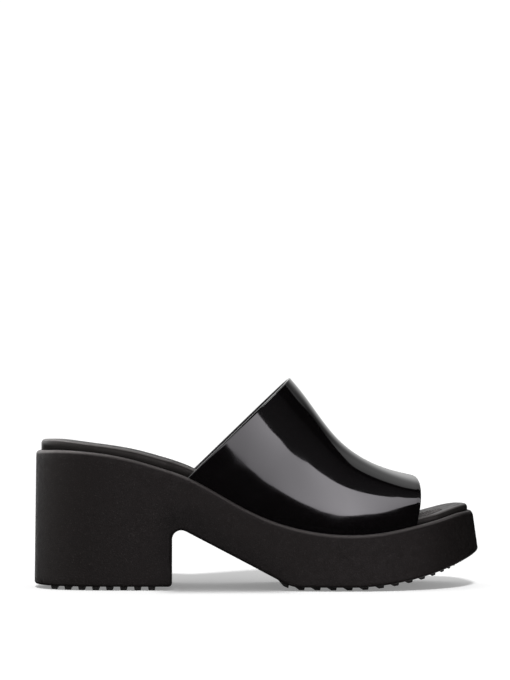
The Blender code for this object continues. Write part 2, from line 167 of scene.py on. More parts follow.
SECTIONS: tuple[Section, ...] = (
    Section(0.03, 0.236, 0.198),
    Section(0.27, 0.187, 0.173),
    Section(0.50, 0.231, 0.216),
    Section(0.74, 0.341, 0.490),
    Section(1.00, 0.689, 0.213),
)

RISES: tuple[Rise, ...] = (
    Rise(0.00, 0.0060),
    Rise(0.05, 0.0056),
    Rise(0.10, 0.0048),
    Rise(0.14, 0.0045),
    Rise(0.18, 0.0046),
    Rise(0.24, 0.0051),
    Rise(0.30, 0.0055),
    Rise(0.35, 0.0058),
    Rise(0.50, 0.0052),
    Rise(0.70, 0.0043),
    Rise(0.85, 0.0036),
    Rise(1.00, 0.0038),
)

NUB_RINGS: tuple[NubRing, ...] = (NubRing(1.00, -0.15), NubRing(0.85, 0.55), NubRing(0.50, 0.88))


def ease(at: Array, low: float, high: float) -> Array:
    """Smooth step.

    Args:
        at: Places to value.
        low: Place up to which the value is 0.
        high: Place from which the value is 1.

    Returns:
        The value at each place.
    """
    share = np.clip((np.asarray(at, float) - low) / (high - low), 0.0, 1.0)
    return share * share * (3 - 2 * share)


def unit(vectors: Array) -> Array:
    """Returns the vectors scaled to length 1."""
    return vectors / np.maximum(np.linalg.norm(vectors, axis=-1, keepdims=True), 1e-12)


def direction(azimuth: float, elevation: float) -> Array:
    """Returns the unit vector towards an azimuth and an elevation, in degrees as in Station."""
    a, e = math.radians(azimuth), math.radians(elevation)
    return np.array([math.sin(a) * math.cos(e), -math.cos(a) * math.cos(e), math.sin(e)])


class SmoothCurve:
    """Natural cubic through given places, straight beyond its two ends."""

    def __init__(self, places: Sequence[float], values: Sequence[float]) -> None:
        """Solves for the bends at the given places.

        Args:
            places: Rising places.
            values: Value at each place.
        """
        self.places = np.array(places, float)
        self.values = np.array(values, float)
        self.steps = np.diff(self.places)
        self.slopes = np.diff(self.values) / self.steps
        count = len(self.places)
        system = np.eye(count)
        right = np.zeros(count)
        for i in range(1, count - 1):
            here, there = self.steps[i - 1], self.steps[i]
            system[i, i - 1 : i + 2] = here, 2 * (here + there), there
            right[i] = 6 * (self.slopes[i] - self.slopes[i - 1])
        self.bends = np.linalg.solve(system, right)

    def __call__(self, at: Array) -> Array:
        """Value of the curve.

        Args:
            at: Places to value.

        Returns:
            The value at each place.
        """
        at = np.asarray(at, float)
        places, values, bends = self.places, self.values, self.bends
        inside = np.clip(at, places[0], places[-1])
        k = np.clip(np.searchsorted(places, inside) - 1, 0, len(places) - 2)
        step = self.steps[k]
        a = (places[k + 1] - inside) / step
        b = (inside - places[k]) / step
        bow = ((a**3 - a) * bends[k] + (b**3 - b) * bends[k + 1]) * step**2 / 6
        first = self.slopes[0] - self.steps[0] * bends[1] / 6
        last = self.slopes[-1] + self.steps[-1] * bends[-2] / 6
        beyond = np.minimum(at - places[0], 0) * first + np.maximum(at - places[-1], 0) * last
        return a * values[k] + b * values[k + 1] + bow + beyond


@dataclass(frozen=True)
class SoleShape:
    """Outline, rim and underside that every piece of the shoe follows."""

    length: float = 0.250
    ball_width: float = 0.090
    heel_height: float = 0.0771
    platform_height: float = 0.0307
    toe_lift: float = 0.0122
    toe_spring: float = 0.0183
    spring_length: float = 0.075
    spring_power: float = 1.9
    ball_flat: float = 0.0325
    heel_block: float = 0.0770
    arch_slope: float = math.radians(27.5)
    arch_radius: float = 0.005
    bend_radius: float = 0.020
    breast_radius: float = 0.0021
    lug_height: float = 0.0022
    heel_draft: float = math.radians(0.5)
    toe_draft: float = math.radians(8.0)
    nudge: float = 1e-5
    edge_rounds: int = 8
    curve_margin: float = 0.012
    curve_places: int = 160

    @property
    def half(self) -> float:
        """Half of the length."""
        return self.length / 2

    @property
    def breast_x(self) -> float:
        """Front of the block heel."""
        return self.heel_block - self.half

    @property
    def spring_x(self) -> float:
        """Start of the toe spring."""
        return self.half - self.spring_length

    @property
    def ball_x(self) -> float:
        """Foot of the arch's slope."""
        return self.spring_x - self.ball_flat

    @property
    def bend_x(self) -> float:
        """End of the bend behind the ball."""
        return self.ball_x + self.bend_radius * math.tan(self.arch_slope / 2)

    def share(self, x: Array) -> Array:
        """Returns the share of the length from the heel."""
        return (np.asarray(x, float) + self.half) / self.length

    def turn_of(self, x: Array) -> Array:
        """Returns the place on the outline, 0 at the heel and 1 at the toe."""
        return np.arccos(1 - 2 * np.clip(self.share(x), 0.0, 1.0)) / math.pi

    def length_at(self, turn: Array) -> Array:
        """Returns the length coordinate of a place on the outline."""
        return -self.half * np.cos(math.pi * np.asarray(turn, float))

    def rim_height(self, x: Array) -> Array:
        """Returns the height of the sole's upper edge."""
        rise = RIM_RISE(self.share(x)) * (self.heel_height - self.platform_height)
        return self.platform_height + rise + RIM_LIFT(self.share(x)) * self.toe_lift

    def base_height(self, x: Array) -> Array:
        """Returns the height of the base outline."""
        share = np.clip((np.asarray(x, float) - self.spring_x) / self.spring_length, 0.0, None)
        return self.lug_height + self.toe_spring * share**self.spring_power

    def wall_lean(self, x: Array, z: Array) -> Array:
        """Returns how far the leaning wall lies inside the base outline at a height."""
        draft = self.heel_draft + (self.toe_draft - self.heel_draft) * self.share(x) ** 2
        return (z - self.base_height(x)) * np.tan(draft)

    def rim_inset(self, turn: Array) -> Array:
        """Returns how far the rim lies inside the base outline."""
        x = self.length_at(turn)
        return self.wall_lean(x, self.rim_height(x))

    def edge_line(self, turn: Array, side: Side, inset: Array) -> tuple[Array, Array]:
        """Outline of one side, moved inwards.

        Args:
            turn: Places on the outline.
            side: Which side.
            inset: How far inwards.

        Returns:
            The x and the y of each place.
        """

        def line(at: Array) -> tuple[Array, Array]:
            """Returns the plain outline."""
            width = OUTER_WIDTH(at) if side is Side.OUTER else INNER_WIDTH(at)
            return self.length_at(at), side.value * self.ball_width * width

        turn = np.asarray(turn, float)
        x, y = line(turn)
        x_on, y_on = line(turn + self.nudge)
        x_back, y_back = line(turn - self.nudge)
        dx, dy = x_on - x_back, y_on - y_back
        size = np.hypot(dx, dy)
        return x + inset * side.value * dy / size, y - inset * side.value * dx / size

    def ring(self, turns: Array, inset: Array, heights: Array) -> Array:
        """Closed loop round the sole: heel, outer side, toe, inner side.

        Args:
            turns: Stations from heel to toe.
            inset: Inset at each station.
            heights: Height at each station, or at each point of the loop.

        Returns:
            The points of the loop.
        """
        outer_x, outer_y = self.edge_line(turns, Side.OUTER, inset)
        inner_x, inner_y = self.edge_line(turns, Side.INNER, inset)
        x = np.concatenate([outer_x, inner_x[-2:0:-1]])
        y = np.concatenate([outer_y, inner_y[-2:0:-1]])
        heights = np.broadcast_to(heights, np.shape(turns)) if np.ndim(heights) == 0 else heights
        if len(heights) == len(turns):
            heights = np.concatenate([heights, heights[-2:0:-1]])
        return np.column_stack([x, y, heights])

    def rim_ring(self, turns: Array, inset: Array, rise: Array) -> Array:
        """Loop inside the rim.

        Args:
            turns: Stations from heel to toe.
            inset: Inset from the rim at each station.
            rise: Rise over the rim at each station.

        Returns:
            The points of the loop.
        """
        loop = self.ring(turns, self.rim_inset(turns) + inset, rise)
        loop[:, 2] += self.rim_height(loop[:, 0])
        return loop

    def side_curve(self, side: Side, inset_at: InsetRule) -> SmoothCurve:
        """Inset outline of one side as a curve over x.

        Args:
            side: Which side.
            inset_at: Rule for the inset at a place on the outline.

        Returns:
            The sideways place as a function of x.
        """
        reach = self.half - self.curve_margin
        x = np.linspace(-reach, reach, self.curve_places)
        turn = self.turn_of(x)
        for _ in range(self.edge_rounds):
            line_x = self.edge_line(turn, side, inset_at(turn))[0]
            turn = self.turn_of(x - (line_x - self.length_at(turn)))
        return SmoothCurve(x, self.edge_line(turn, side, inset_at(turn))[1])


def column(rows: Sequence[NamedTuple], name: str) -> SmoothCurve:
    """Returns a named column of a table as a curve over the table's along column."""
    return SmoothCurve([row.along for row in rows], [getattr(row, name) for row in rows])


TURNS = [float(np.arccos(1 - 2 * row.along) / math.pi) for row in WIDTHS]
OUTER_WIDTH = SmoothCurve(TURNS, [row.outer for row in WIDTHS])
INNER_WIDTH = SmoothCurve(TURNS, [row.inner for row in WIDTHS])
RIM_RISE = column(RIM, "heel_rise")
RIM_LIFT = column(RIM, "toe_lift")
EDGE_RISE = column(RISES, "rise")
CREST_SHARE = column(CREST, "height")
SIDE_FULLNESS = column(SECTIONS, "side")
TOP_FULLNESS = column(SECTIONS, "top")


def mesh_object(name: str, points: Array, faces: Sequence[Sequence[int]]) -> Object:
    """Smooth mesh object in the scene.

    Args:
        name: Name of the object.
        points: Its vertices.
        faces: Its faces as vertex numbers.

    Returns:
        The new object.
    """
    data = bpy.data.meshes.new(name)
    data.from_pydata([tuple(p) for p in np.asarray(points, float)], [], [tuple(f) for f in faces])
    data.validate()
    data.shade_smooth()
    thing = bpy.data.objects.new(name, data)
    bpy.context.collection.objects.link(thing)
    return thing


def paint_sheen_rows(thing: Object, count: int, amounts: dict[int, float]) -> None:
    """Marks loops of vertices for painted sheen, a raised specular strength that brightens their highlight.

    Args:
        thing: Mesh object built from loops.
        count: Points in each loop.
        amounts: Amount of painted sheen, 0 to 1, for each marked loop.
    """
    layer = thing.data.attributes.new("painted_sheen", "FLOAT", "POINT")
    for row, amount in amounts.items():
        for i in range(row * count, (row + 1) * count):
            layer.data[i].value = amount


def loop_faces(rows: int, count: int) -> list[tuple[int, ...]]:
    """Faces of a grid whose rows are closed loops.

    Args:
        rows: Number of loops.
        count: Points in each loop.

    Returns:
        The faces as vertex numbers.
    """
    faces = []
    for r in range(rows - 1):
        here, there = r * count, (r + 1) * count
        for i in range(count):
            j = (i + 1) % count
            faces.append((here + i, here + j, there + j, there + i))
    return faces


def cap_faces(start: int, count: int, flip: bool) -> list[tuple[int, ...]]:
    """Rows of faces across a loop that is mirrored about its first point.

    Args:
        start: Number of the loop's first vertex.
        count: Points in the loop.
        flip: Whether the faces look the other way.

    Returns:
        The faces as vertex numbers.
    """
    faces = []
    for i in range(count // 2):
        across = tuple(dict.fromkeys((i, i + 1, count - i - 1, -i % count)))
        face = tuple(start + k for k in across)
        faces.append(face[::-1] if flip else face)
    return faces


def closed_faces(rows: int, count: int) -> list[tuple[int, ...]]:
    """Returns the faces of a grid of loops, with caps across the first and the last loop."""
    return loop_faces(rows, count) + cap_faces(0, count, True) + cap_faces((rows - 1) * count, count, False)


def hide(thing: Object, *rays: str) -> None:
    """Hides an object from kinds of rays, such as camera, diffuse, glossy or shadow."""
    for ray in rays:
        setattr(thing, f"visible_{ray}", False)


class Paint:
    """Node tree of one material, with a short way to add and join nodes."""

    def __init__(self, name: str) -> None:
        """Starts a material.

        Args:
            name: Name of the material.
        """
        self.material = bpy.data.materials.new(name)
        self.material.use_nodes = True
        self.tree = self.material.node_tree
        self.shader = self.tree.nodes["Principled BSDF"]
        self.place = self.node("ShaderNodeTexCoord").outputs["Object"]

    def node(self, kind: str, settings: dict | None = None, **inputs: object) -> bpy.types.Node:
        """Adds a node.

        Args:
            kind: Blender's name of the node type.
            settings: Properties of the node.
            inputs: Values or sockets for its inputs, with underscores for spaces.

        Returns:
            The new node.
        """
        made = self.tree.nodes.new(kind)
        for key, value in (settings or {}).items():
            setattr(made, key, value)
        for key, value in inputs.items():
            self.feed(made, key.replace("_", " "), value)
        return made

    def feed(self, node: bpy.types.Node, name: str, value: object) -> None:
        """Sets or links one input.

        Args:
            node: The node.
            name: Name of its input.
            value: A number, a colour or an output socket.
        """
        socket = next(s for s in node.inputs if s.name == name and s.enabled)
        if isinstance(value, Socket):
            self.tree.links.new(value, socket)
        else:
            socket.default_value = value

    def noise(self, scale: float, detail: float) -> Socket:
        """Noise over the piece.

        Args:
            scale: Features in a metre.
            detail: Octaves.

        Returns:
            The noise value's socket.
        """
        texture = self.node("ShaderNodeTexNoise", Vector=self.place, Scale=scale, Detail=detail)
        return texture.outputs["Fac"]

    def ramp(self, value: Socket, low: float, high: float, start: float, end: float) -> Socket:
        """Smooth mapping of a value.

        Args:
            value: Socket to map.
            low: Value that maps to start.
            high: Value that maps to end.
            start: First result.
            end: Last result.

        Returns:
            The mapped value's socket.
        """
        mapped = self.node("ShaderNodeMapRange", {"interpolation_type": "SMOOTHSTEP"}, Value=value)
        for name, number in (("From Min", low), ("From Max", high), ("To Min", start), ("To Max", end)):
            self.feed(mapped, name, number)
        return mapped.outputs["Result"]

    def blend(self, share: Socket, first: tuple, second: tuple) -> Socket:
        """Colour between two.

        Args:
            share: Socket with the second colour's share.
            first: First colour.
            second: Second colour.

        Returns:
            The colour's socket.
        """
        mix = self.node("ShaderNodeMix", {"data_type": "RGBA"})
        self.tree.links.new(share, mix.inputs["Factor"])
        for socket, colour in zip([s for s in mix.inputs if s.type == "RGBA"], (first, second)):
            socket.default_value = (*colour, 1.0)
        return next(s for s in mix.outputs if s.type == "RGBA")

    def bump(self, height: Socket, distance: float, under: Socket | None = None) -> Socket:
        """Bump from a height.

        Args:
            height: Socket with the height, 0 to 1.
            distance: Height of the bump in metres.
            under: Normal of a bump below it.

        Returns:
            The normal's socket.
        """
        made = self.node("ShaderNodeBump", Height=height, Distance=distance)
        if under is not None:
            self.feed(made, "Normal", under)
        return made.outputs["Normal"]

    def lamp(self, strength: float, colour: object = (1.0, 1.0, 1.0, 1.0)) -> Material:
        """Turns the material into plain light.

        Args:
            strength: Brightness.
            colour: Colour, or a socket with it.

        Returns:
            The material.
        """
        self.tree.nodes.remove(self.shader)
        light = self.node("ShaderNodeEmission", Color=colour, Strength=strength)
        output = next(n for n in self.tree.nodes if n.type == "OUTPUT_MATERIAL")
        self.tree.links.new(light.outputs[0], output.inputs["Surface"])
        return self.material


@dataclass(frozen=True)
class FoamFinish:
    """Matte moulded foam with a fine speckled grain, and painted sheen: stronger specular on vertices marked by
    the sheen attribute, to brighten their highlight.
    """

    name: str
    colour: tuple = (0.0058, 0.0047, 0.0046)
    speck: tuple = (0.0190, 0.0168, 0.0162)
    roughness: float = 0.50
    grain: float = 1700.0
    grain_height: float = 0.00009
    shine: float = 0.24
    # specular strength of the painted sheen on marked vertices
    painted_sheen: float = 0.24
    glow: tuple = (1.0, 0.93, 0.92)
    speck_band: tuple = (0.58, 0.72)
    unevenness: float = 0.06
    broadness: float = 6.0
    broad_share: float = 0.6

    def material(self) -> Material:
        """Makes the material.

        Returns:
            The new material.
        """
        paint = Paint(self.name)
        shader = paint.shader
        fine = paint.noise(self.grain, 4.0)
        broad = paint.noise(self.grain / self.broadness, 3.0)
        specks = paint.ramp(fine, *self.speck_band, 0.0, 1.0)
        paint.feed(shader, "Base Color", paint.blend(specks, self.colour, self.speck))
        paint.feed(shader, "Specular Tint", (*self.glow, 1.0))
        # painted sheen: specular strength rises from shine to the sheen amount on marked vertices, which
        # brightens their highlight
        sheen_mask = paint.node("ShaderNodeAttribute", {"attribute_name": "painted_sheen"}).outputs["Fac"]
        paint.feed(shader, "Specular IOR Level", paint.ramp(sheen_mask, 0.0, 1.0, self.shine, self.painted_sheen))
        smooth, rough = self.roughness - self.unevenness, self.roughness + self.unevenness
        paint.feed(shader, "Roughness", paint.ramp(broad, *NOISE_BAND, smooth, rough))
        normal = paint.bump(broad, self.grain_height * self.broad_share)
        paint.feed(shader, "Normal", paint.bump(fine, self.grain_height, normal))
        return paint.material


@dataclass(frozen=True)
class GlossFinish:
    """Glossy moulded skin with a clear coat that is faintly uneven and dulled near the throat."""

    name: str
    colour: tuple = (0.0020, 0.0017, 0.0019)
    roughness: float = 0.05
    coat_roughness: float = 0.03
    smear: float = 90.0
    smear_band: tuple = (0.4, 0.75)
    smear_roughness: float = 0.04
    wave: float = 45.0
    wave_height: float = 0.00003
    peel: float = 260.0
    peel_height: float = 0.000001
    dulled: tuple = (-0.018, 0.014)
    dulled_coat: float = 0.05

    def material(self) -> Material:
        """Makes the material.

        Returns:
            The new material.
        """
        paint = Paint(self.name)
        shader = paint.shader
        paint.feed(shader, "Base Color", (*self.colour, 1.0))
        smears = paint.noise(self.smear, 4.0)
        rough = self.roughness + self.smear_roughness
        paint.feed(shader, "Roughness", paint.ramp(smears, *self.smear_band, self.roughness, rough))
        waves = paint.bump(paint.noise(self.wave, 1.0), self.wave_height)
        skin = paint.bump(paint.noise(self.peel, 2.0), self.peel_height, waves)
        paint.feed(shader, "Normal", skin)
        paint.feed(shader, "Coat Normal", skin)
        along = paint.node("ShaderNodeSeparateXYZ", Vector=paint.place).outputs["X"]
        paint.feed(shader, "Coat Weight", paint.ramp(along, *self.dulled, self.dulled_coat, 1.0))
        paint.feed(shader, "Coat Roughness", self.coat_roughness)
        return paint.material


@dataclass(frozen=True)
class LiningFinish:
    """Dull inner face of the band."""

    name: str
    colour: tuple = (0.012, 0.011, 0.012)
    roughness: float = 0.45
    unevenness: float = 0.1
    weave: float = 900.0
    weave_height: float = 0.00004

    def material(self) -> Material:
        """Makes the material.

        Returns:
            The new material.
        """
        paint = Paint(self.name)
        weave = paint.noise(self.weave, 3.0)
        rough = self.roughness + self.unevenness
        paint.feed(paint.shader, "Base Color", (*self.colour, 1.0))
        paint.feed(paint.shader, "Roughness", paint.ramp(weave, *NOISE_BAND, self.roughness, rough))
        paint.feed(paint.shader, "Normal", paint.bump(weave, self.weave_height))
        return paint.material


@dataclass(frozen=True)
class FloorFinish:
    """Plain pale floor."""

    name: str
    colour: tuple = (0.93, 0.93, 0.93)
    glow: float = 0.24

    def material(self) -> Material:
        """Makes the material.

        Returns:
            The new material.
        """
        paint = Paint(self.name)
        paint.feed(paint.shader, "Base Color", (*self.colour, 1.0))
        paint.feed(paint.shader, "Roughness", 1.0)
        paint.feed(paint.shader, "Specular IOR Level", 0.0)
        paint.feed(paint.shader, "Emission Color", (1.0, 1.0, 1.0, 1.0))
        paint.feed(paint.shader, "Emission Strength", self.glow)
        return paint.material


@dataclass
class Sole:
    """Foam sole with a block heel, a leaning wall and a rounded rim."""

    shape: SoleShape
    edge_radius: float = 0.0015
    rim_radius: float = 0.0022
    seat_inset: float = 0.0023
    seat_depth: float = 0.0020
    seat_lip: float = 0.0002
    seat_floor: float = 0.004
    support: float = 0.0005
    # specular strength of the painted sheen on the rim's rounded edge, which brightens its highlight line
    rim_painted_sheen: float = 1.4
    heel_steps: int = 56
    corner_steps: int = 6
    breast_steps: int = 6
    crown_steps: int = 9
    slope_steps: int = 24
    bend_steps: int = 6
    ball_steps: int = 12
    toe_steps: int = 70
    wall_steps: int = 22
    arc_steps: int = 5

    def arc(self, x: float, z: float, radius: float, start: float, stop: float, steps: int) -> Array:
        """Points on an arc in the side view.

        Args:
            x: Centre's length coordinate.
            z: Centre's height.
            radius: Radius.
            start: First angle.
            stop: Last angle.
            steps: Number of steps.

        Returns:
            The points.
        """
        angles = np.linspace(start, stop, steps + 1)
        return np.column_stack([x + radius * np.cos(angles), z + radius * np.sin(angles)])

    def underside(self) -> tuple[Array, Array]:
        """Side view of the underside.

        Returns:
            Points from heel to toe, and the direction into the foam at each.
        """
        s = self.shape
        base, slope = s.lug_height, s.arch_slope
        corner_x = s.breast_x - s.breast_radius
        heel_x = s.length_at(np.linspace(0, s.turn_of(corner_x), self.heel_steps))[:-1]
        heel = np.column_stack([heel_x, np.full(len(heel_x), base)])
        corner = self.arc(corner_x, base + s.breast_radius, s.breast_radius, -math.pi / 2, 0, self.corner_steps)
        centre_x = s.breast_x + s.arch_radius
        centre_z = base + math.tan(slope) * (s.ball_x - centre_x) - s.arch_radius / math.cos(slope)
        crown = self.arc(centre_x, centre_z, s.arch_radius, math.pi, math.pi / 2 - slope, self.crown_steps)
        bend_z = base + s.bend_radius
        bend = self.arc(s.bend_x, bend_z, s.bend_radius, -math.pi / 2 - slope, -math.pi / 2, self.bend_steps)
        breast_z = np.linspace(corner[-1, 1], crown[0, 1], self.breast_steps)[1:-1]
        breast = np.column_stack([np.full(len(breast_z), s.breast_x), breast_z])
        shares = np.linspace(0, 1, self.slope_steps + 1)[1:-1, None]
        straight = crown[-1] * (1 - shares) + bend[0] * shares
        arch = np.vstack([corner, breast, crown, straight, bend])
        toe_x = s.length_at(np.linspace(s.turn_of(s.spring_x), 1, self.toe_steps))
        front_x = np.concatenate([np.linspace(s.bend_x, s.spring_x, self.ball_steps)[1:-1], toe_x])
        front = np.column_stack([front_x, s.base_height(front_x)])
        points = np.vstack([heel, arch, front])
        tangents = unit(np.gradient(points, axis=0))
        inwards = np.column_stack([-tangents[:, 1], tangents[:, 0]])
        inwards[: len(heel)] = 0.0, 1.0
        inwards[len(heel) + len(arch) :] = 0.0, 1.0
        return points, inwards

    def build(self) -> Object:
        """Builds the sole.

        Returns:
            The new sole.
        """
        s = self.shape
        points, inwards = self.underside()
        travel = np.concatenate([[0.0], np.cumsum(np.linalg.norm(np.diff(points, axis=0), axis=1))])
        even = s.turn_of(travel / travel[-1] * s.length - s.half)
        top_turns = (s.turn_of(points[:, 0]) + even) / 2
        bends = np.linspace(0, math.pi / 2, self.arc_steps + 1)
        radius = self.edge_radius
        steps = [(0.0, radius + self.support)]
        steps += [(radius * (1 - math.cos(a)), radius * (1 - math.sin(a))) for a in bends]
        loops = []
        for lift, inset in steps:
            low_x, low_z = (points + lift * inwards).T
            low_turns = s.turn_of(low_x)
            loops.append(s.ring(low_turns, inset + s.wall_lean(low_x, low_z), low_z))
        top_z = s.rim_height(s.length_at(top_turns)) - self.rim_radius
        for share in np.linspace(0, 1, self.wall_steps + 1)[1:]:
            turns = low_turns * (1 - share) + top_turns * share
            z = low_z * (1 - share) + top_z * share
            loops.append(s.ring(turns, s.wall_lean(s.length_at(turns), z), z))
        radius = self.rim_radius
        rim = [(radius * (1 - math.cos(a)), radius * (math.sin(a) - 1)) for a in bends[1:]]
        rim += [(self.seat_inset, -self.seat_lip), (self.seat_inset, -self.seat_depth)]
        rim += [(self.seat_inset + self.seat_floor, -self.seat_depth)]
        for inset, rise in rim:
            loops.append(s.rim_ring(top_turns, np.full(len(top_turns), inset), np.full(len(top_turns), rise)))
        count = len(loops[0])
        sole = mesh_object("sole_foam", np.vstack(loops), closed_faces(len(loops), count))
        sole.data.materials.append(FoamFinish("foam", painted_sheen=self.rim_painted_sheen).material())
        first = len(loops) - len(rim)
        # painted sheen on the rim's rounded rows, half on the lowest of them, to brighten the rim's highlight
        paint_sheen_rows(sole, count, {first + k: 1.0 for k in range(1, self.arc_steps)} | {first: 0.5})
        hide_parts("sole")
        return sole


@dataclass
class Tread:
    """Rubber pad with cross lugs, standing a little proud of the foam."""

    shape: SoleShape
    name: str
    node: str
    back: float
    front: float
    inset: float
    ramp: float
    pad: float = 0.0012
    proud: float = 0.0002
    draft: float = 0.0004
    bevel: float = 0.00035
    bevel_angle: float = math.radians(25)
    sharp_angle: float = math.radians(30)
    steps: int = 90

    def lugs(self) -> list[tuple[float, float]]:
        """Returns the back and the front of each lug."""
        raise NotImplementedError

    def underside(self, x: Array) -> Array:
        """Height of the foam over the pad.

        Args:
            x: Length coordinates.

        Returns:
            The height at each.
        """
        s = self.shape
        width = s.bend_radius * math.sin(s.arch_slope)
        back = np.clip(s.bend_x - np.asarray(x, float), 0.0, width)
        bend = s.bend_radius - np.sqrt(s.bend_radius**2 - back**2)
        slope = math.tan(s.arch_slope) * np.clip(s.bend_x - width - x, 0.0, None)
        return s.base_height(x) + bend + slope

    def edge_curve(self, side: Side) -> SmoothCurve:
        """Returns the pad's edge on one side as a curve over x."""
        return self.shape.side_curve(side, lambda turn: np.full(np.shape(turn), self.inset))

    def build(self) -> Object:
        """Builds the tread.

        Returns:
            The new tread.
        """
        s = self.shape
        lugs = self.lugs()
        places = s.length_at(np.linspace(s.turn_of(self.back), s.turn_of(self.front), self.steps))
        profile = []
        for x in places:
            if all(x < start - self.draft or x > stop + self.draft for start, stop in lugs):
                profile.append((x, self.proud))
        for start, stop in lugs:
            foot = start + self.ramp * (stop - start)
            profile += [(start, self.proud), (foot, s.lug_height)]
            profile += [(stop - self.draft, s.lug_height), (stop, self.proud)]
        profile.sort()
        x = np.array([row[0] for row in profile])
        drop = np.array([row[1] for row in profile])
        z = self.underside(x)
        outer, inner = self.edge_curve(Side.OUTER)(x), self.edge_curve(Side.INNER)(x)
        loops = []
        for place, left, right, low, high in zip(x, outer, inner, z - drop, z + self.pad):
            loops.append([(place, left, low), (place, right, low), (place, right, high), (place, left, high)])
        faces = [f[::-1] for f in loop_faces(len(loops), 4)]
        last = 4 * (len(loops) - 1)
        faces += [(0, 1, 2, 3), (last + 3, last + 2, last + 1, last)]
        tread = mesh_object(self.name, np.array(loops).reshape(-1, 3), faces)
        tread.data.set_sharp_from_angle(angle=self.sharp_angle)
        bevel = tread.modifiers.new("soft_edges", "BEVEL")
        bevel.width = self.bevel
        bevel.segments = 2
        bevel.limit_method = "ANGLE"
        bevel.angle_limit = self.bevel_angle
        finish = FoamFinish(
            self.name, (0.022, 0.0215, 0.0215), (0.032, 0.031, 0.031), grain=1100.0, grain_height=0.00005
        )
        tread.data.materials.append(finish.material())
        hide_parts(self.node)
        return tread


@dataclass
class HeelTread(Tread):
    """Pad under the block heel."""

    pitch: float = 0.0077
    width: float = 0.0042
    setback: float = 0.0090

    def underside(self, x: Array) -> Array:
        """Returns the level height of the heel's underside."""
        return np.full(np.shape(x), self.shape.lug_height)

    def lugs(self) -> list[tuple[float, float]]:
        """Lugs, set back from the breast.

        Returns:
            The back and the front of each.
        """
        stop = self.shape.breast_x - self.setback
        found = []
        while stop - self.width > self.back + self.draft:
            found.append((stop - self.width, stop))
            stop -= self.pitch
        return found


@dataclass
class ForefootTread(Tread):
    """Pad under ball and toe, whose lugs get closer towards the toe."""

    pitch: float = 0.0088
    toe_pitch: float = 0.0060
    fill: float = 0.72
    travel_places: int = 200

    def lugs(self) -> list[tuple[float, float]]:
        """Lugs, spaced along the outer edge.

        Returns:
            The back and the front of each.
        """
        s = self.shape
        x = np.linspace(self.back, self.front, self.travel_places)
        y = self.edge_curve(Side.OUTER)(x)
        travel = np.concatenate([[0.0], np.cumsum(np.hypot(np.diff(x), np.diff(y)))])
        stops, reach = [], self.draft
        while reach < travel[-1]:
            stops.append(float(np.interp(reach, travel, x)))
            shrink = float(ease(stops[-1], s.spring_x, s.half))
            reach += self.pitch + (self.toe_pitch - self.pitch) * shrink
        return [(a + (1 - self.fill) * (b - a), b) for a, b in zip(stops, stops[1:])]


